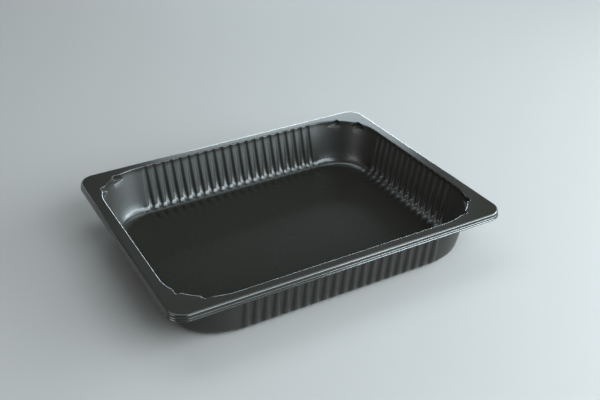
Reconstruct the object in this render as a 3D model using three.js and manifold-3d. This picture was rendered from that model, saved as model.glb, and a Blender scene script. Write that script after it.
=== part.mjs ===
// Half-size catering food tray, formed in one piece from black plastic sheet.
// Units are millimetres. +Z is up, +X runs along the long sides, and the origin is the middle of
// the plane that the tray stands on.
import * as THREE from "three";
import Module from "manifold-3d";

// Whole tray
const LENGTH = 323.4;
const WIDTH = 262.4;
const HEIGHT = 49.5;
const SHEET = 0.8;

// Rim: the flat flange rolls over into a short skirt that steps out twice on the way to its cut edge.
// The skirt's outside is given from the top down, by its inset from the outermost edge and its drop.
const RIM_CORNER = 16.3;
const EDGE_ROUND = 1.6;
const SKIRT_INSET = 0.8;
const SKIRT = [[0.75, 3.2], [0.4, 3.65], [0.4, 4.85], [0, 5.45], [0, 6.25]];

// Ribs: upright flutes that bulge outwards and fade in from the rim to the floor
const LONG_RIBS = 21;
const LONG_PITCH = 9.4;
const SHORT_RIBS = 14;
const SHORT_PITCH = 9.5;
const RIB_TOP = { depth: 0.8, wide: 2.0, narrow: 0.45 };
const RIB_BASE = { depth: 2.6, wide: 3.6, narrow: 1.35 };

// Feet: each rib turns under the floor in a wider bend than the wall, stands a little proud of the
// floor, and runs out towards the middle. The feet of the long walls are longer than those of the
// short walls.
const FOOT_DEPTH = 0.7;
const RIB_ROUND = 13;
const LONG_FOOT = { flat: 4, run: 10 };
const SHORT_FOOT = { flat: 2.5, run: 3 };

// Opening and walls: plain round corners, with a little plain wall before the ribs begin
const OPENING_CORNER = 49;
const LONG_PLAIN = 3.4;
const SHORT_PLAIN = 6.1;
const MOUTH_ROUND = 2;
const DRAFT = THREE.MathUtils.degToRad(10.5);
const FLOOR_ROUND = 8;

// Pockets for lifting stacked trays apart: two under the flange at each corner
const POCKET_DROP = 6.2;
const POCKET_BACK = 4.6;
const POCKET_END = 21.2;
const POCKET_ROUND = 3;
const POCKET_DRAFT = 0.4;

// Facets of the round forms
const CORNER_STEPS = 10;
const RIM_STEPS = 8;
const FILLET_STEPS = 3;
const ROUND_STEPS = 3;
const POCKET_STEPS = 3;
const CUT_ABOVE = 3;

// Sizes that follow from the ones above
const longRun = LONG_RIBS * LONG_PITCH + 2 * LONG_PLAIN;
const shortRun = SHORT_RIBS * SHORT_PITCH + 2 * SHORT_PLAIN;
const openingLength = longRun + 2 * OPENING_CORNER;
const openingWidth = shortRun + 2 * OPENING_CORNER;
const floorTop = FOOT_DEPTH + SHEET;
const quarterTurn = Math.PI / 2;
const noRib = { depth: 0 };

// The four walls in turn, anticlockwise from the short wall at +X
const walls = [0, 1, 2, 3].map((turn) => {
  const isLong = turn % 2 === 1;
  return {
    turn,
    isLong,
    facing: turn * quarterTurn,
    reach: (isLong ? openingWidth : openingLength) / 2,
    run: isLong ? longRun : shortRun,
    ribs: isLong ? LONG_RIBS : SHORT_RIBS,
    pitch: isLong ? LONG_PITCH : SHORT_PITCH,
    foot: isLong ? LONG_FOOT : SHORT_FOOT,
  };
});

// A point given by how far out it is from the middle, how far along its wall, and its height.
// place says where it is round the tray: each wall takes up 1 and each corner takes up 1.
function ringPoint(wall, share, out, along, z) {
  const cos = Math.cos(wall.facing);
  const sin = Math.sin(wall.facing);
  const position = [cos * out - sin * along, sin * out + cos * along, z];
  return { position, place: 2 * wall.turn + share };
}

// One level of the tray's section. tilt is the way that the sheet's outside faces: 0 is straight
// out and a quarter turn is straight down. inset is measured inwards from the edge of the opening.
// pastFlat and pastRun are 1 where the flat and the run of a foot are added to the inset.
function level(inset, z, tilt, rib, pastFlat = 0, pastRun = 0) {
  return { inset, z, tilt, ...rib, pastFlat, pastRun };
}

function insetOn(row, foot) {
  return row.inset + row.pastFlat * foot.flat + row.pastRun * foot.run;
}

// How far a rib stands out where the fillet faces a tilt: the distance from the fillet's middle to
// the rib's own wider bend, which runs from the rib's face on the wall to its foot under the floor
function bendDepth(tilt) {
  const wider = RIB_ROUND - FLOOR_ROUND;
  const out = (RIB_BASE.depth - wider + (wider - FOOT_DEPTH) * Math.sin(DRAFT)) / Math.cos(DRAFT);
  const down = FOOT_DEPTH - wider;
  const along = out * Math.cos(tilt) + down * Math.sin(tilt);
  return along + Math.sqrt(RIB_ROUND ** 2 - out ** 2 - down ** 2 + along ** 2) - FLOOR_ROUND;
}

// The section from the tips of the feet up to the top of the wall, on the inside of the sheet
function wallLevels() {
  const topInset = MOUTH_ROUND * Math.cos(DRAFT);
  const topZ = HEIGHT - MOUTH_ROUND + MOUTH_ROUND * Math.sin(DRAFT);
  const filletZ = floorTop + FLOOR_ROUND;
  const baseZ = filletZ - FLOOR_ROUND * Math.sin(DRAFT);
  const baseInset = topInset + (topZ - baseZ) * Math.tan(DRAFT);
  const filletInset = baseInset + FLOOR_ROUND * Math.cos(DRAFT);
  const foot = { ...RIB_BASE, depth: FOOT_DEPTH };
  const levels = [
    level(filletInset, floorTop, quarterTurn, noRib, 1, 1),
    level(filletInset, floorTop, quarterTurn, foot, 1, 0),
  ];
  for (let step = 0; step <= FILLET_STEPS; step++) {
    const share = step / FILLET_STEPS;
    const tilt = THREE.MathUtils.lerp(quarterTurn, DRAFT, share);
    const inset = filletInset - FLOOR_ROUND * Math.cos(tilt);
    const z = filletZ - FLOOR_ROUND * Math.sin(tilt);
    const rib = step === 0 ? foot : { ...RIB_BASE, depth: bendDepth(tilt) };
    levels.push(level(inset, z, tilt, rib));
  }
  levels.push(level(topInset, topZ, DRAFT, RIB_TOP));
  return levels;
}

// Where a rib's section has its points, as the place along the wall and how far it stands out.
// A level without ribs has one point for each, so that the levels still match up.
function ribPoints(row) {
  if (row.depth === 0) return [[0, 0]];
  return [[-row.wide, 0], [-row.narrow, row.depth], [row.narrow, row.depth], [row.wide, 0]];
}

// The round corner that follows a wall, about a middle given in the wall's own directions
function cornerArc(wall, outMiddle, alongMiddle, radius, steps, z) {
  const arc = [];
  for (let step = 0; step <= steps; step++) {
    const share = step / steps;
    const out = outMiddle + radius * Math.cos(share * quarterTurn);
    const along = alongMiddle + radius * Math.sin(share * quarterTurn);
    arc.push(ringPoint(wall, 1 + share, out, along, z));
  }
  return arc;
}

// The outline of the walls at one level, lifted off the inside by the thickness of the sheet or not
function wallRing(row, lift) {
  const ring = [];
  for (const wall of walls) {
    const flutePoint = (along, push) => {
      const thickness = lift + push;
      const out = wall.reach - insetOn(row, wall.foot) + thickness * Math.cos(row.tilt);
      const z = row.z - thickness * Math.sin(row.tilt);
      return ringPoint(wall, along / wall.run + 0.5, out, along, z);
    };
    for (let rib = 0; rib < wall.ribs; rib++) {
      const middle = (rib - (wall.ribs - 1) / 2) * wall.pitch;
      ribPoints(row).forEach(([along, push]) => ring.push(flutePoint(middle + along, push)));
    }
    const radius = OPENING_CORNER - insetOn(row, SHORT_FOOT) + lift * Math.cos(row.tilt);
    const z = row.z - lift * Math.sin(row.tilt);
    ring.push(...cornerArc(wall, wall.reach - OPENING_CORNER, wall.run / 2, radius, CORNER_STEPS, z));
  }
  return ring;
}

// A rectangle with round corners at one height
function roundedRing(length, width, radius, steps, z) {
  return walls.flatMap((wall) => {
    const out = (wall.isLong ? width : length) / 2 - radius;
    const along = (wall.isLong ? length : width) / 2 - radius;
    return cornerArc(wall, out, along, radius, steps, z);
  });
}

function rimRing(inset, drop) {
  const corner = RIM_CORNER - inset;
  return roundedRing(LENGTH - 2 * inset, WIDTH - 2 * inset, corner, RIM_STEPS, HEIGHT - drop);
}

// A closed solid through a stack of rings, with a fan to the middle at both ends
function loft(rings) {
  const points = [];
  const triangles = [];
  const starts = rings.map((ring) => {
    const start = points.length;
    points.push(...ring.map((point) => point.position));
    return start;
  });
  const fan = (ring, start, up) => {
    const middle = points.push([0, 0, ring[0].position[2]]) - 1;
    ring.forEach((_, index) => {
      const here = start + index;
      const next = start + ((index + 1) % ring.length);
      triangles.push(...(up ? [middle, here, next] : [middle, next, here]));
    });
  };
  fan(rings[0], starts[0], false);
  fan(rings[rings.length - 1], starts[rings.length - 1], true);
  for (let index = 0; index + 1 < rings.length; index++) {
    stitch(rings[index], starts[index], rings[index + 1], starts[index + 1], triangles);
  }
  const vertProperties = new Float32Array(points.flat());
  const mesh = new wasm.Mesh({ numProp: 3, vertProperties, triVerts: new Uint32Array(triangles) });
  return new wasm.Manifold(mesh);
}

// The strip between two rings. Rings with as many points as each other are joined point to point,
// and other rings by going round both together.
function stitch(lower, lowerStart, upper, upperStart, triangles) {
  const alike = lower.length === upper.length;
  const fullRound = 2 * walls.length;
  const place = (ring, index) => (index < ring.length ? ring[index].place : ring[0].place + fullRound);
  let low = 0;
  let high = 0;
  while (low < lower.length || high < upper.length) {
    const here = lowerStart + (low % lower.length);
    const above = upperStart + (high % upper.length);
    const lowIsNext = place(lower, low + 1) <= place(upper, high + 1);
    const stepLow = alike ? low === high : lowIsNext;
    if (high === upper.length || (stepLow && low < lower.length)) {
      triangles.push(here, lowerStart + ((low + 1) % lower.length), above);
      low++;
    } else {
      triangles.push(here, upperStart + ((high + 1) % upper.length), above);
      high++;
    }
  }
}

// The inside of the tray, from the floor up past the flange
function cavity(levels) {
  const rings = levels.map((row) => wallRing(row, 0));
  const halfRound = (quarterTurn - DRAFT) / 2;
  const shoulderZ = HEIGHT - MOUTH_ROUND * (1 - Math.cos(halfRound));
  const shoulderInset = MOUTH_ROUND * Math.sin(halfRound);
  rings.push(wallRing(level(shoulderInset, shoulderZ, DRAFT, noRib), 0));
  rings.push(wallRing(level(0, HEIGHT, DRAFT, noRib), 0));
  rings.push(wallRing(level(0, HEIGHT + CUT_ABOVE, DRAFT, noRib), 0));
  return loft(rings);
}

// The outside of the tray with nothing hollowed out, from under the floor to the top of the flange
function envelope(levels) {
  const top = levels[levels.length - 1];
  const rings = levels.map((row) => wallRing(row, SHEET));
  const underside = HEIGHT - SHEET;
  const rise = underside - (top.z - SHEET * Math.sin(DRAFT));
  const inset = top.inset - SHEET * Math.cos(DRAFT) - rise * Math.tan(DRAFT);
  rings.push(wallRing(level(inset, underside, DRAFT, noRib), 0));
  const flatEnd = SKIRT_INSET + EDGE_ROUND;
  rings.push(rimRing(flatEnd, SHEET));
  rings.push(rimRing(SKIRT_INSET + SHEET, EDGE_ROUND));
  SKIRT.forEach(([inset, drop]) => rings.push(rimRing(inset + SHEET, drop)));
  SKIRT.toReversed().forEach(([inset, drop]) => rings.push(rimRing(inset, drop)));
  for (let step = 0; step <= ROUND_STEPS; step++) {
    const angle = (step / ROUND_STEPS) * quarterTurn;
    const roundInset = flatEnd - EDGE_ROUND * Math.cos(angle);
    rings.push(rimRing(roundInset, EDGE_ROUND * (1 - Math.sin(angle))));
  }
  return loft(rings);
}

// Two crossed boxes whose corners stand out of the round corners of the walls as the pockets.
// grow is the thickness of the sheet round them, or nothing for the hollow itself.
function pocketBoxes(grow, topZ) {
  const bottomZ = HEIGHT - POCKET_DROP - grow;
  const box = (fromEnds, fromSides) => {
    const ring = (spread, z) => {
      const length = openingLength - 2 * (fromEnds - grow - spread);
      const width = openingWidth - 2 * (fromSides - grow - spread);
      return roundedRing(length, width, POCKET_ROUND + grow, POCKET_STEPS, z);
    };
    return loft([ring(0, bottomZ), ring(POCKET_DRAFT, topZ)]);
  };
  return box(POCKET_BACK, POCKET_END).add(box(POCKET_END, POCKET_BACK));
}

function geometryOf(solid) {
  const mesh = solid.getMesh();
  const geometry = new THREE.BufferGeometry();
  geometry.setAttribute("position", new THREE.BufferAttribute(mesh.vertProperties, 3));
  geometry.setIndex(new THREE.BufferAttribute(mesh.triVerts, 1));
  geometry.computeVertexNormals();
  return geometry;
}

const wasm = await Module();
wasm.setup();

const levels = wallLevels();
const outside = envelope(levels).add(pocketBoxes(SHEET, HEIGHT - SHEET));
const inside = cavity(levels).add(pocketBoxes(0, HEIGHT + CUT_ABOVE));
const blackPlastic = new THREE.MeshStandardMaterial({ color: 0x1d1e1e, roughness: 0.42, metalness: 0 });
const trayMesh = new THREE.Mesh(geometryOf(outside.subtract(inside)), blackPlastic);
trayMesh.name = "tray";

const foodTray = new THREE.Group();
foodTray.add(trayMesh);

export default foodTray;
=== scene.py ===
# %% [markdown]
# A catering tray formed from one sheet
#
# The real tray began as a flat sheet of black plastic that was heated and drawn into a mould. It
# has no separate parts, so the scene has one piece too. This lesson models the face of the sheet
# that looks up and in, a quarter of it at a time, because the tray is the same on both sides of its
# two middle planes. The mirrored whole gets the thickness of the sheet at the end, as real sheet
# has it.

# %% The frame and the overall size
import math

import bmesh
import bpy
from mathutils import Matrix, Vector


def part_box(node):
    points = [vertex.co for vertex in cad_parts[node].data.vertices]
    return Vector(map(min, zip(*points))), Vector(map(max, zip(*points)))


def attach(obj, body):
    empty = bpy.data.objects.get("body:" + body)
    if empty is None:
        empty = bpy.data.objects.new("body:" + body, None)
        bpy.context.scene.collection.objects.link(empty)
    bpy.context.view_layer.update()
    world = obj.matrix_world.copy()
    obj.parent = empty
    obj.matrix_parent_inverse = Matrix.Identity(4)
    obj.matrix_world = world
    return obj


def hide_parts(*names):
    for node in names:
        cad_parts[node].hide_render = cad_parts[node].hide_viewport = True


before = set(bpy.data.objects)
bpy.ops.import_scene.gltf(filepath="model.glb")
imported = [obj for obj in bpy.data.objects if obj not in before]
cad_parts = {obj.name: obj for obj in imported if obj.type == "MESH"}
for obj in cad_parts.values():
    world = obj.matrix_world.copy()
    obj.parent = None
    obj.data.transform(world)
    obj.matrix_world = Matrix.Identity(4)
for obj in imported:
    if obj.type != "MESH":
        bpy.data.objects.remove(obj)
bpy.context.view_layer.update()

MM = 0.001
low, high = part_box("tray")
half_length = high.x
half_width = high.y
height = high.z
print("rim over all, mm:", [round(side / MM, 1) for side in high - low])

# %% [markdown]
# The section of the well
#
# Cut through a long wall, the sheet comes in along the flange, rolls over the edge of the mouth,
# runs down a slightly sloping wall, and turns through a soft fillet onto the floor. A section like
# this could be a curve, but a line of vertices is easier to spin and pull later. A plane is shrunk
# to one vertex, the vertex is pulled from point to point, and the two bends are rounded with a
# vertex bevel.

# %% Sizes of the section
SHEET = 0.8 * MM
CORNER_RADIUS = 49 * MM
LONG_PITCH = 9.4 * MM
LONG_RIBS = 21
LONG_PLAIN = 3.4 * MM
SHORT_PITCH = 9.5 * MM
SHORT_RIBS = 14
SHORT_PLAIN = 6.1 * MM
DRAFT = math.radians(10.5)
MOUTH_ROUND = 0.9 * MM
FLOOR_ROUND = 8 * MM
FOOT_DEPTH = 0.7 * MM

corner_x = LONG_RIBS * LONG_PITCH / 2 + LONG_PLAIN
corner_y = SHORT_RIBS * SHORT_PITCH / 2 + SHORT_PLAIN
mouth_x = corner_x + CORNER_RADIUS
mouth_y = corner_y + CORNER_RADIUS
floor_z = FOOT_DEPTH + SHEET
half_turn = math.tan((math.pi / 2 - DRAFT) / 2)
mouth_tangent = MOUTH_ROUND * half_turn
floor_tangent = FLOOR_ROUND * half_turn
base_inset = mouth_tangent + (height - floor_z) * math.tan(DRAFT)
fillet_inset = base_inset + floor_tangent
print("mouth, mm:", round(2 * mouth_x / MM, 1), "x", round(2 * mouth_y / MM, 1))
print("floor starts this far in from the mouth, mm:", round(fillet_inset / MM, 1))

# %% Helpers: select by place, and draw a line
SAME_PLACE = 0.01 * MM


def pick(kind, test):
    """Selects what passes the test among the vertices, edges or faces being edited."""
    mesh = bpy.context.edit_object.data
    bpy.ops.mesh.select_mode(type=kind)
    bpy.ops.mesh.select_all(action="DESELECT")
    form = bmesh.from_edit_mesh(mesh)
    parts = {"VERT": form.verts, "EDGE": form.edges, "FACE": form.faces}[kind]
    chosen = [part for part in parts if test(part)]
    for part in chosen:
        part.select_set(True)
    bmesh.update_edit_mesh(mesh)
    return len(chosen)


def near(value, target):
    return abs(value - target) < SAME_PLACE


def draw_line(name, points):
    """A new object with one open line, pulled from point to point out of a single vertex."""
    bpy.ops.object.select_all(action="DESELECT")
    bpy.ops.mesh.primitive_plane_add(size=MM)
    line = bpy.context.object
    line.name = name
    bpy.ops.object.mode_set(mode="EDIT")
    bpy.ops.mesh.select_mode(type="VERT")
    bpy.ops.mesh.select_all(action="SELECT")
    bpy.ops.mesh.merge(type="CENTER")
    bpy.ops.transform.translate(value=points[0])
    for start, end in zip(points, points[1:]):
        bpy.ops.mesh.extrude_region_move(TRANSFORM_OT_translate={"value": end - start})
    return line


def round_bend(place, tangent, segments):
    """Rounds the bend of a line at a place, starting a tangent's length before it."""
    pick("VERT", lambda vertex: (vertex.co - place).length < SAME_PLACE)
    bpy.ops.mesh.bevel(offset=tangent, segments=segments, affect="VERTICES")


# %% Draw the section and round its bends
FLANGE_START = 0.6 * MM
WALL_DROPS = [3, 5.5, 5.85, 6.05, 6.2, 6.35, 6.55, 6.85, 7.3, 13, 20, 27, 34]
FLOOR_STEPS = [1.5, 3, 4.5, 6, 8, 11, 14, 17]
MOUTH_SEGMENTS = 6
FLOOR_SEGMENTS = 10


def section_point(inset, z):
    return Vector((corner_x, mouth_y - inset, z))


def wall_point(drop):
    return section_point(mouth_tangent + drop * MM * math.tan(DRAFT), height - drop * MM)


mouth_bend = section_point(mouth_tangent, height)
floor_bend = section_point(base_inset, floor_z)
section = [section_point(-FLANGE_START, height), mouth_bend]
section += [wall_point(drop) for drop in WALL_DROPS]
section += [floor_bend]
section += [section_point(fillet_inset + step * MM, floor_z) for step in FLOOR_STEPS]
tray = draw_line("tray_shell", section)
round_bend(mouth_bend, mouth_tangent, MOUTH_SEGMENTS)
round_bend(floor_bend, floor_tangent, FLOOR_SEGMENTS)
print("section vertices:", len(bmesh.from_edit_mesh(tray.data).verts))

# %% [markdown]
# The corner and the two walls
#
# The plain corner is the same section turned about an upright axis, so a spin makes it, in
# stretches with shorter steps where a pocket will end. Each half wall is the end of the spin pulled
# straight to the middle of the tray, one narrow column after another, twelve to a flute, so that
# there is enough mesh to shape the flutes from.

# %% Spin the corner
CORNER_STRETCHES = [(14, 6), (14, 10), (9, 16), (16, 7), (9, 16), (14, 10), (14, 6)]

bpy.ops.mesh.select_all(action="SELECT")
for degrees, steps in CORNER_STRETCHES:
    bpy.ops.mesh.spin(
        steps=steps, angle=math.radians(degrees), center=(corner_x, corner_y, 0), axis=(0, 0, 1)
    )
print("faces of the corner:", len(bmesh.from_edit_mesh(tray.data).faces))

# %% Pull out the walls, one column at a time
FLUTE_COLUMNS = 12
LONG_PLAIN_COLUMNS = 5
SHORT_PLAIN_COLUMNS = 9


def pull_wall(at_start, direction, columns):
    """Pulls the open edge of a spin along a wall, by the width of one column after another."""
    pick("EDGE", lambda edge: all(at_start(end.co) for end in edge.verts))
    for width in columns:
        bpy.ops.mesh.extrude_region_move(TRANSFORM_OT_translate={"value": direction * width})


def half_wall(plain, plain_columns, pitch, ribs):
    """Widths of the columns from a corner to the middle of a wall."""
    fluted = [pitch / FLUTE_COLUMNS] * (ribs * FLUTE_COLUMNS // 2)
    return [plain / plain_columns] * plain_columns + fluted


long_columns = half_wall(LONG_PLAIN, LONG_PLAIN_COLUMNS, LONG_PITCH, LONG_RIBS)
short_columns = half_wall(SHORT_PLAIN, SHORT_PLAIN_COLUMNS, SHORT_PITCH, SHORT_RIBS)
pull_wall(lambda place: near(place.x, corner_x), Vector((-1, 0, 0)), long_columns)
pull_wall(lambda place: near(place.y, corner_y), Vector((0, -1, 0)), short_columns)
print("columns of the half walls:", len(long_columns), len(short_columns))


# %% Turn all faces to look up and in
def face_up(is_flange):
    """Recalculates the normals, and turns them all over if the flange then looks down."""
    bpy.ops.mesh.select_all(action="SELECT")
    bpy.ops.mesh.normals_make_consistent(inside=False)
    faces = bmesh.from_edit_mesh(bpy.context.edit_object.data).faces
    upward = sum(face.normal.z for face in faces if is_flange(face.calc_center_median()))
    if upward < 0:
        bpy.ops.mesh.flip_normals()
    return upward


print("flange looked:", "up" if face_up(lambda place: near(place.z, height)) > 0 else "down")
bpy.ops.object.mode_set(mode="OBJECT")

# %% [markdown]
# The flutes
#
# Each wall carries a row of flutes that bulge outwards: a shallow notch under the rim that grows
# deeper and broader down the wall, turns onto the floor in a wider bend than the wall itself, so
# that it is shallow there, and ends as a low foot, longer at the long walls than at the short ones.
# Modelling each by hand would mean dozens of copies to join. Here a vertex group holds how deep the
# flute is at each vertex, and one Displace modifier pushes the sheet out along its own normals by
# that much.

# %% Sizes of the flutes
# Depth, half the width at the wall and half the width at the bottom.
TOP_FLUTE = (1.0 * MM, 2.0 * MM, 0.6 * MM)
BASE_FLUTE = (2.6 * MM, 3.45 * MM, 1.6 * MM)
FOOT_FLUTE = (FOOT_DEPTH, 3.45 * MM, 1.6 * MM)
TIP_FLUTE = (0.0, 2.2 * MM, 0.6 * MM)
# Length of the even part of a foot, and of the part that runs out.
LONG_FOOT = (4 * MM, 10 * MM)
SHORT_FOOT = (2.5 * MM, 3 * MM)
FLUTE_ROUND = 11 * MM
FLUTE_SOFTNESS = 0.35 * MM
SOFT_SAMPLES = [-1, -0.5, 0, 0.5, 1]

wall_top_z = height - MOUTH_ROUND * (1 - math.sin(DRAFT))
wall_base_z = floor_z + FLOOR_ROUND * (1 - math.sin(DRAFT))
print("straight wall from and to, mm:", round(wall_base_z / MM, 1), round(wall_top_z / MM, 1))

# %% How deep a flute is at a point of the wall
SEARCH_STEPS = 12


def share_between(value, start, end):
    return min(1, max(0, (value - start) / (end - start)))


def mix(first, second, share):
    return tuple(a + (b - a) * share for a, b in zip(first, second))


def bend_depth(inset, z, depth, foot_depth, bend):
    """Distance from the sheet out to another bend, a depth behind the wall and below the floor.

    The search steps out from the sheet until it meets the bend, or back in where the bend is wider.
    """
    tilt = DRAFT
    if z < wall_base_z:
        tilt = math.asin(share_between(floor_z + FLOOR_ROUND - z, 0, FLOOR_ROUND))
    reach = 0
    for _ in range(SEARCH_STEPS):
        out = base_inset - inset + reach * math.cos(tilt)
        down = floor_z - z + reach * math.sin(tilt)
        past_wall = out * math.cos(DRAFT) + down * math.sin(DRAFT) - depth + bend
        past_floor = down - foot_depth + bend
        reach += bend - math.hypot(max(0, past_wall), max(0, past_floor))
    return reach


def flute_section(inset, z, foot):
    """Depth and the two half widths of a flute, at one level of the section."""
    flat, run = foot
    past_flat = inset - fillet_inset - flat
    if z > wall_top_z:
        return mix((0, *TOP_FLUTE[1:]), TOP_FLUTE, share_between(z, height, wall_top_z) ** 2)
    if past_flat > 0:
        return mix(FOOT_FLUTE, TIP_FLUTE, share_between(past_flat, 0, run))
    depth, wide, narrow = mix(TOP_FLUTE, BASE_FLUTE, share_between(z, wall_top_z, wall_base_z))
    return bend_depth(inset, z, depth, FOOT_DEPTH, FLUTE_ROUND), wide, narrow


def flute_depth(across, inset, foot, z):
    """Depth at a distance across a flute from its middle, with its edges softened."""
    depth, wide, narrow = flute_section(inset, z, foot)
    total = 0
    for sample in SOFT_SAMPLES:
        place = abs(across + sample * FLUTE_SOFTNESS)
        total += depth * share_between(place, wide, narrow)
    return total / len(SOFT_SAMPLES)


half_way_inset = mouth_tangent + height / 2 * math.tan(DRAFT)
half_way_depth = flute_depth(0, half_way_inset, LONG_FOOT, height / 2)
print("depth of a flute half way down, mm:", round(half_way_depth / MM, 2))


# %% Push the flutes out of the walls
def on_wall(place):
    """Distance across the nearest flute, inset from the mouth and foot, or None on a corner."""
    if place.x < corner_x and place.y > corner_y:
        across = place.x - LONG_PITCH * min(LONG_RIBS // 2, round(place.x / LONG_PITCH))
        return across, mouth_y - place.y, LONG_FOOT
    if place.y < corner_y and place.x > corner_x:
        nearest = min(SHORT_RIBS // 2, math.floor(place.y / SHORT_PITCH) + 1)
        return place.y - SHORT_PITCH * (nearest - 0.5), mouth_x - place.x, SHORT_FOOT
    return None


def displace(piece, name, direction, strength, amounts):
    """Moves vertices along a direction, each by the distance given for its index."""
    group = piece.vertex_groups.new(name=name)
    for index, amount in amounts.items():
        group.add([index], amount / abs(strength), "REPLACE")
    push = piece.modifiers.new(name, "DISPLACE")
    push.direction = direction
    push.mid_level = 0
    push.strength = strength
    push.vertex_group = name
    bpy.ops.object.modifier_apply(modifier=name)
    piece.vertex_groups.remove(piece.vertex_groups[name])


flutes = {}
for vertex in tray.data.vertices:
    found = on_wall(vertex.co)
    if found:
        depth = flute_depth(*found, vertex.co.z)
        if depth > 0:
            flutes[vertex.index] = depth
displace(tray, "flutes", "NORMAL", -BASE_FLUTE[0], flutes)
print("vertices moved for the flutes:", len(flutes))

# %% [markdown]
# The wider bend in the corners
#
# Sheet is drawn least far into a corner, so the bend at the floor is widest in the middle of the
# corner and narrows towards both walls. A bevel keeps one radius all the way round, so it can't
# make this. The search that found the bend of a flute finds the wider bend too, and one more
# Displace modifier lifts the sheet onto it.

# %% Widen the bend at the floor towards the middle of the corner
CORNER_ROUND = 10.5 * MM

corner_bends = {}
for vertex in tray.data.vertices:
    x, y, z = vertex.co
    if x > corner_x and y > corner_y and z < height / 2:
        middle = math.sin(2 * math.atan2(y - corner_y, x - corner_x))
        bend = FLOOR_ROUND + (CORNER_ROUND - FLOOR_ROUND) * middle
        inset = CORNER_RADIUS - math.hypot(x - corner_x, y - corner_y)
        corner_bends[vertex.index] = max(0, -bend_depth(inset, z, 0, 0, bend))
displace(tray, "corner_bends", "NORMAL", MM, corner_bends)
print("most that the corner is lifted, mm:", round(max(corner_bends.values()) / MM, 2))

# %% [markdown]
# The pockets in the corners
#
# Just under the flange each round corner has two small pockets, where a fingertip or a machine
# lifts one tray off another in a stack. Each is a shallow step with a straight back, a square end
# and a flat ledge. A boolean cut would leave ragged edges, so the columns of mesh above the ledge
# are slid out to the back of the pocket instead, one pocket along X and the other along Y.

# %% How far each vertex slides to the back of a pocket
POCKET_BACK = 4.7 * MM
POCKET_END = 21.2 * MM
POCKET_ROUND = 3 * MM
POCKET_FLARE = 0.6
# Drop below the flange in mm, and the share of the slide that is taken there.
LEDGE_SHARES = [
    (5.5, 1), (5.85, 0.965), (6.05, 0.88), (6.2, 0.6),
    (6.35, 0.3), (6.55, 0.13), (6.85, 0.04), (7.3, 0),
]
LEDGE_TOUCH = 0.01


def ledge_share(z):
    """How much of the slide a level takes: all of it above the ledge and nothing below."""
    drop = (height - z) / MM
    if drop <= LEDGE_SHARES[0][0]:
        return 1
    for (upper, more), (lower, less) in zip(LEDGE_SHARES, LEDGE_SHARES[1:]):
        if drop < lower + LEDGE_TOUCH:
            return more + (less - more) * share_between(drop, upper, lower)
    return 0


def pocket_slide(out, along, mouth_out, mouth_along, inset, z):
    """Slide to the back of a pocket, for a vertex this far out and this far along its wall."""
    flare = POCKET_FLARE * max(0, mouth_tangent - inset)
    end = mouth_along - POCKET_END + flare
    back = mouth_out - POCKET_BACK + flare
    past_round = along - (end - POCKET_ROUND)
    if past_round > POCKET_ROUND:
        return 0
    if past_round > 0:
        back -= POCKET_ROUND - math.sqrt(POCKET_ROUND ** 2 - past_round ** 2)
    return max(0, back - out) * ledge_share(z)


print("levels of mesh at the ledge:", len(LEDGE_SHARES))

# %% Slide the pockets out
POCKET_REACH = 10 * MM

end_pockets = {}
side_pockets = {}
for vertex in tray.data.vertices:
    x, y, z = vertex.co
    if x > corner_x and y > corner_y and ledge_share(z) > 0:
        inset = CORNER_RADIUS - math.hypot(x - corner_x, y - corner_y)
        end_pockets[vertex.index] = pocket_slide(x, y, mouth_x, mouth_y, inset, z)
        side_pockets[vertex.index] = pocket_slide(y, x, mouth_y, mouth_x, inset, z)
displace(tray, "end_pockets", "X", POCKET_REACH, end_pockets)
displace(tray, "side_pockets", "Y", POCKET_REACH, side_pockets)
print("deepest pocket, mm:", round(max(end_pockets.values()) / MM, 2))

# %% [markdown]
# The rim
#
# Outside the flat flange the sheet rolls over into a short skirt, which stiffens the edge. Two
# small steps run round the skirt, and it ends where the tray was cut out of its sheet. The rim has
# its own corner radius, so it is a second section, drawn, spun and pulled like the first. Then the
# two are joined, and the flange is bridged between them.

# %% Draw, spin and pull the rim
RIM_CORNER = 16.3 * MM
EDGE_ROUND = 1.6 * MM
EDGE_SEGMENTS = 6
SKIRT_INSET = 0.8 * MM
# Inset from the outer edge and drop below the flange, in mm, at each bend of the skirt.
SKIRT_STEPS = [(0.75, 3.2), (0.4, 3.65), (0.4, 4.85), (0, 5.45)]
STEP_ROUND = 0.25 * MM
STEP_SEGMENTS = 2
SKIRT_DROP = 6.25 * MM
RIM_STEPS = 18

rim_x = half_length - RIM_CORNER
rim_y = half_width - RIM_CORNER


def rim_point(inset, drop):
    return Vector((rim_x, half_width - inset, height - drop))


flange_end = rim_point(SKIRT_INSET + EDGE_ROUND + FLANGE_START, 0)
edge_bend = rim_point(SKIRT_INSET, 0)
step_bends = [rim_point(inset * MM, drop * MM) for inset, drop in SKIRT_STEPS]
rim = draw_line("rim", [flange_end, edge_bend, *step_bends, rim_point(0, SKIRT_DROP)])
round_bend(edge_bend, EDGE_ROUND, EDGE_SEGMENTS)
for bend in step_bends:
    round_bend(bend, STEP_ROUND, STEP_SEGMENTS)
bpy.ops.mesh.select_all(action="SELECT")
bpy.ops.mesh.spin(steps=RIM_STEPS, angle=math.pi / 2, center=(rim_x, rim_y, 0), axis=(0, 0, 1))
pull_wall(lambda place: near(place.x, rim_x), Vector((-1, 0, 0)), [rim_x])
pull_wall(lambda place: near(place.y, rim_y), Vector((0, -1, 0)), [rim_y])
bpy.ops.object.mode_set(mode="OBJECT")
print("faces of a quarter of the rim:", len(rim.data.polygons))


# %% Join the rim to the well and bridge the flange
def open_flange_edge(edge):
    """An open edge at the flange's height that doesn't lie on a middle plane of the tray."""
    ends = [end.co for end in edge.verts]
    level = all(near(end.z, height) for end in ends)
    on_middle = all(near(end.x, 0) for end in ends) or all(near(end.y, 0) for end in ends)
    return edge.is_boundary and level and not on_middle


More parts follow.
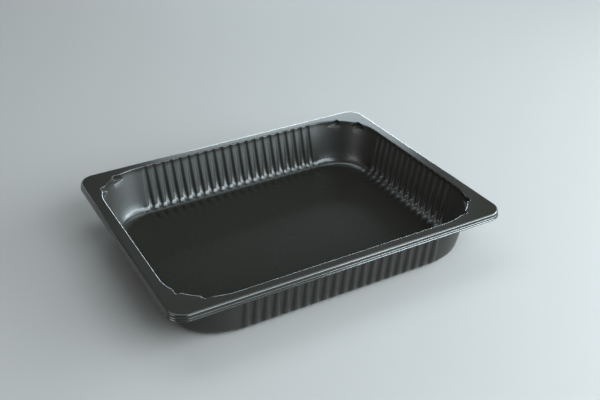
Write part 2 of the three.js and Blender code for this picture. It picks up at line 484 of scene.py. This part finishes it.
bpy.ops.object.select_all(action="DESELECT")
rim.select_set(True)
tray.select_set(True)
bpy.context.view_layer.objects.active = tray
bpy.ops.object.join()
bpy.ops.object.mode_set(mode="EDIT")
print("open edges round the flange:", pick("EDGE", open_flange_edge))
bpy.ops.mesh.bridge_edge_loops()
bpy.ops.object.mode_set(mode="OBJECT")

# %% [markdown]
# The whole tray, its floor and its thickness
#
# Mirrored over both middle planes the quarter becomes the whole face of the sheet, with one hole
# left where the floor is flat. Solidify then gives the sheet its thickness on the far side, which
# makes the outside of the flutes and the feet that the tray stands on.

# %% Mirror the quarter and fill the floor
MERGE_DISTANCE = 0.005 * MM

whole = tray.modifiers.new("whole", "MIRROR")
whole.use_axis = (True, True, False)
whole.use_clip = True
whole.merge_threshold = MERGE_DISTANCE
bpy.ops.object.modifier_apply(modifier="whole")
bpy.ops.object.mode_set(mode="EDIT")
floor_edges = pick("EDGE", lambda edge: edge.is_boundary and near(edge.verts[0].co.z, floor_z))
bpy.ops.mesh.edge_face_add()
print("edges round the floor:", floor_edges)
face_up(lambda place: near(place.z, height))
bpy.ops.object.mode_set(mode="OBJECT")

# %% Give the sheet its thickness
thickness = tray.modifiers.new("thickness", "SOLIDIFY")
thickness.thickness = SHEET
thickness.offset = -1
thickness.use_quality_normals = True
bpy.ops.object.modifier_apply(modifier="thickness")
print("faces of the sheet on both sides:", len(tray.data.polygons))

# %% Ease the cut edge of the skirt and smooth the faces
CUT_EASE = 0.25 * MM
CUT_SEGMENTS = 2
FACING_DOWN = 0.9
SMOOTH_ANGLE = math.radians(50)


def cut_edge(edge):
    """One of the two edges that run along the cut end of the skirt."""
    if not all(near(end.co.z, height - SKIRT_DROP) for end in edge.verts):
        return False
    along_cut = [abs(face.normal.z) > FACING_DOWN for face in edge.link_faces]
    return any(along_cut) and not all(along_cut)


bpy.ops.object.mode_set(mode="EDIT")
print("edges of the cut:", pick("EDGE", cut_edge))
bpy.ops.mesh.bevel(offset=CUT_EASE, segments=CUT_SEGMENTS, affect="EDGES")
bpy.ops.object.mode_set(mode="OBJECT")
bpy.ops.object.shade_smooth_by_angle(angle=SMOOTH_ANGLE)
triangles = sum(len(face.vertices) - 2 for face in tray.data.polygons)
print("triangles of the tray:", triangles)

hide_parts("tray")
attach(tray, "root")

# %% [markdown]
# Black plastic
#
# The sheet is dyed through, so it is nearly black all over, and what shows is its skin. The rim was
# clamped while the rest was drawn, so it kept the smooth gloss of the sheet. The floor was drawn a
# little and took the fine grain of the mould, so it mirrors less, and the walls were drawn most and
# turned to a soft satin. Painting a roughness map would do it, but here the place on the tray
# chooses between the three, and noise adds the cloudy changes of gloss and the fine tooth of the
# mould. The cut end of the skirt and the feet rub on whatever the tray is stacked with or stands
# on, so noise breaks them into patches that are a little paler and duller.

# %% Helpers: nodes that give, run and combine values
NOISE_ROUGHNESS = 0.55


def add_node(material, kind, **values):
    """A node with its input sockets set by name, with spaces written as underscores."""
    node = material.node_tree.nodes.new("ShaderNode" + kind)
    for name, value in values.items():
        node.inputs[name.replace("_", " ")].default_value = value
    return node


def ramp(material, source, low, high, at_low, at_high):
    """A value that runs from one level to another while the source runs from low to high."""
    levels = {"From_Min": low, "From_Max": high, "To_Min": at_low, "To_Max": at_high}
    node = add_node(material, "MapRange", **levels)
    material.node_tree.links.new(source, node.inputs["Value"])
    return node.outputs["Result"]


def combine(material, operation, first, second):
    """Two values put together by a sum of the given kind; the second may be a plain number."""
    node = add_node(material, "Math")
    node.operation = operation
    material.node_tree.links.new(first, node.inputs[0])
    if isinstance(second, (int, float)):
        node.inputs[1].default_value = second
    else:
        material.node_tree.links.new(second, node.inputs[1])
    return node.outputs["Value"]


def noise(material, place, scale, detail):
    """Even noise of the given fineness, fixed to the tray."""
    fineness = {"Scale": scale, "Detail": detail, "Roughness": NOISE_ROUGHNESS}
    node = add_node(material, "TexNoise", **fineness)
    material.node_tree.links.new(place, node.inputs["Vector"])
    return node.outputs["Fac"]


# %% The skin: glossy rim, satin walls and grained floor
RIM_GLOSS = 0.15
WALL_SATIN = 0.41
FLOOR_GLOSS = 0.27
WALL_MIRROR = 0.5
FLOOR_MIRROR = 0.05
RIM_START = 2 * MM
RIM_FADE = (6 * MM, 0.5 * MM)
FLOOR_FADE = (2 * MM, 12 * MM)
MIRROR_RISE = 2 * MM


def outward_place(material, place):
    """Distances from the middle planes and from the table, as three values."""
    outward = add_node(material, "VectorMath")
    outward.operation = "ABSOLUTE"
    material.node_tree.links.new(place, outward.inputs[0])
    axis = add_node(material, "SeparateXYZ")
    material.node_tree.links.new(outward.outputs["Vector"], axis.inputs["Vector"])
    return axis.outputs["X"], axis.outputs["Y"], axis.outputs["Z"]


def outside_mouth(material, x, y):
    """One on the flange and the skirt, and nothing on the well."""
    past_x = combine(material, "GREATER_THAN", x, mouth_x + RIM_START)
    past_y = combine(material, "GREATER_THAN", y, mouth_y + RIM_START)
    return combine(material, "MAXIMUM", past_x, past_y)


def skin_roughness(material, z, on_rim):
    """Gloss on the rim, and on the well the lower of its fades from the rim and the floor."""
    rim_low, rim_high = [height - drop for drop in RIM_FADE]
    floor_low, floor_high = [floor_z + rise for rise in FLOOR_FADE]
    under_rim = ramp(material, z, rim_low, rim_high, WALL_SATIN, RIM_GLOSS)
    over_floor = ramp(material, z, floor_low, floor_high, FLOOR_GLOSS, WALL_SATIN)
    skin = add_node(material, "MapRange", To_Max=RIM_GLOSS)
    drawn = combine(material, "MINIMUM", under_rim, over_floor)
    material.node_tree.links.new(on_rim, skin.inputs["Value"])
    material.node_tree.links.new(drawn, skin.inputs["To Min"])
    return skin.outputs["Result"]


# %% The wear along the cut end and the feet
RUB_REACH = 0.9 * MM
RUB_SCALE = 260
RUB_DETAIL = 5
RUB_EDGES = (0.45, 0.65)


def rubbed_edges(material, place, z, on_rim):
    """One where the plastic is rubbed, in patches along the cut end and under the feet."""
    cut_z = height - SKIRT_DROP
    cut_reach = ramp(material, z, cut_z, cut_z + RUB_REACH, 1, 0)
    cut_end = combine(material, "MULTIPLY", cut_reach, on_rim)
    edges = combine(material, "MAXIMUM", cut_end, ramp(material, z, 0, RUB_REACH, 1, 0))
    patches = ramp(material, noise(material, place, RUB_SCALE, RUB_DETAIL), *RUB_EDGES, 0, 1)
    return combine(material, "MULTIPLY", edges, patches)


# %% Make the plastic
PLASTIC = (0.0111, 0.0100, 0.0081, 1)
RUBBED_PLASTIC = (0.03, 0.0305, 0.029, 1)
PLASTIC_IOR = 1.5
RUB_DULLNESS = 0.2
CLOUDINESS = 0.02
CLOUD_SCALE = 22
CLOUD_DETAIL = 4
CLOUD_EDGES = (0.3, 0.7)
TOOTH_SCALE = 1100
TOOTH_DETAIL = 2
TOOTH_HEIGHT = 0.04 * MM
TOOTH_STRENGTH = 0.1


def satin_black_plastic():
    material = bpy.data.materials.new("satin_black_plastic")
    material.use_nodes = True
    join = material.node_tree.links.new
    shader = material.node_tree.nodes["Principled BSDF"]
    shader.inputs["IOR"].default_value = PLASTIC_IOR
    place = add_node(material, "TexCoord").outputs["Object"]
    x, y, z = outward_place(material, place)
    on_rim = outside_mouth(material, x, y)
    rubbed = rubbed_edges(material, place, z, on_rim)

    tint = add_node(material, "MixRGB", Color1=PLASTIC, Color2=RUBBED_PLASTIC)
    join(rubbed, tint.inputs["Fac"])
    join(tint.outputs["Color"], shader.inputs["Base Color"])

    clouds = noise(material, place, CLOUD_SCALE, CLOUD_DETAIL)
    cloudy = ramp(material, clouds, *CLOUD_EDGES, -CLOUDINESS, CLOUDINESS)
    gloss = combine(material, "ADD", skin_roughness(material, z, on_rim), cloudy)
    dull = combine(material, "MULTIPLY", rubbed, RUB_DULLNESS)
    join(combine(material, "ADD", gloss, dull), shader.inputs["Roughness"])
    mirror = ramp(material, z, floor_z, floor_z + MIRROR_RISE, FLOOR_MIRROR, WALL_MIRROR)
    join(mirror, shader.inputs["Specular IOR Level"])

    bump = add_node(material, "Bump", Strength=TOOTH_STRENGTH, Distance=TOOTH_HEIGHT)
    join(noise(material, place, TOOTH_SCALE, TOOTH_DETAIL), bump.inputs["Height"])
    join(bump.outputs["Normal"], shader.inputs["Normal"])
    return material


tray.data.materials.clear()
tray.data.materials.append(satin_black_plastic())
print("material:", tray.data.materials[0].name)

# %% [markdown]
# The studio
#
# The tray stands on a pale sheet of paper. Black plastic shows little but what it mirrors, so the
# lights are screens placed where the tray looks for them. A broad soft key stands low on the right
# in front, with fainter ones above it, and lights the fillets and the flutes. A bright screen
# stands at the back, which is what the flange mirrors, a weak one on the left fills the shadow, and
# one overhead evens out the paper.

# %% Floor
PAPER_SIZE = 8
PAPER = (0.219, 0.2055, 0.1965, 1)
PAPER_ROUGHNESS = 0.9
PAPER_MIRROR = 0.1

bpy.ops.object.select_all(action="DESELECT")
bpy.ops.mesh.primitive_plane_add(size=PAPER_SIZE)
floor = bpy.context.object
floor.name = "studio_floor"
paper = bpy.data.materials.new("paper")
paper.use_nodes = True
paper_shader = paper.node_tree.nodes["Principled BSDF"]
paper_shader.inputs["Base Color"].default_value = PAPER
paper_shader.inputs["Roughness"].default_value = PAPER_ROUGHNESS
paper_shader.inputs["Specular IOR Level"].default_value = PAPER_MIRROR
floor.data.materials.append(paper)
print("paper, m:", [round(side, 2) for side in floor.dimensions])

# %% Lights
COOL = (0.79, 0.935, 1.0)
PLAIN = (0.97, 1.0, 0.98)
# Name, turn, rise, width and height in degrees, distance in metres, brightness and colour.
LIGHTS = [
    ("key", 126, 13, 62, 10, 1.3, 35, COOL),
    ("key_scrim", 116, 25, 54, 16, 1.3, 13, COOL),
    ("key_side", 166, 37, 40, 36, 1.3, 11.6, COOL),
    ("key_upper", 122, 45, 40, 26, 1.3, 4, COOL),
    ("right_screen", 72, 18, 22, 22, 2.2, 2.2, COOL),
    ("back_low", 32, 6.5, 34, 13, 1.7, 18, COOL),
    ("back_screen", 27, 19.7, 26, 14, 1.7, 3.4, COOL),
    ("back_upper", 28, 34, 34, 14, 1.7, 0.12, COOL),
    ("back_left", 346, 19, 26, 16, 1.5, 3.2, COOL),
    ("left_low", 266, 11, 24, 12, 1.7, 10, PLAIN),
    ("left_wall", 284, 28, 76, 25, 1.7, 0.7, PLAIN),
    ("ceiling", 14, 70, 60, 30, 1.3, 4, COOL),
]


def soft_light(name, turn, rise, across, tall, distance, brightness, colour):
    """A flat glowing screen that faces the tray, placed and sized in degrees as the tray sees it.

    The turn goes from the far side, +Y, towards the right, +X, and the rise is up from the floor.
    """
    data = bpy.data.lights.new(name, "AREA")
    data.shape = "RECTANGLE"
    data.size = 2 * distance * math.tan(math.radians(across / 2))
    data.size_y = 2 * distance * math.tan(math.radians(tall / 2))
    data.energy = brightness * math.pi * data.size * data.size_y
    data.color = colour
    light = bpy.data.objects.new(name, data)
    bpy.context.scene.collection.objects.link(light)
    level = math.cos(math.radians(rise))
    to_right = level * math.sin(math.radians(turn))
    to_back = level * math.cos(math.radians(turn))
    way = Vector((to_right, to_back, math.sin(math.radians(rise))))
    light.location = way * distance
    light.rotation_euler = way.to_track_quat("Z", "Y").to_euler()
    print(name, "size, m:", round(data.size, 2), round(data.size_y, 2))


for light in LIGHTS:
    soft_light(*light)

# %% The room round the lights
ROOM = (0.9, 0.95, 1.0, 1)
ROOM_STRENGTH = 0.1

world = bpy.data.worlds.new("studio")
world.use_nodes = True
room = world.node_tree.nodes["Background"]
room.inputs["Color"].default_value = ROOM
room.inputs["Strength"].default_value = ROOM_STRENGTH
bpy.context.scene.world = world
bpy.context.scene.view_settings.view_transform = "Standard"
print("room light:", ROOM_STRENGTH)

# %% Camera
CAMERA_PLACE = Vector((-317.2, -639.5, 456)) * MM
CAMERA_TURN = math.radians(27.76)
CAMERA_TILT = math.radians(30.11)
CAMERA_ROLL = math.radians(1.36)
LENS = 51.94

camera_data = bpy.data.cameras.new("camera")
camera_data.lens = LENS
camera = bpy.data.objects.new("camera", camera_data)
bpy.context.scene.collection.objects.link(camera)
turn = Matrix.Rotation(-CAMERA_TURN, 4, "Z")
tilt = Matrix.Rotation(math.pi / 2 - CAMERA_TILT, 4, "X")
roll = Matrix.Rotation(-CAMERA_ROLL, 4, "Z")
camera.matrix_world = Matrix.Translation(CAMERA_PLACE) @ turn @ tilt @ roll
bpy.context.scene.camera = camera
print("camera to the middle of the tray, mm:", round(CAMERA_PLACE.length / MM))
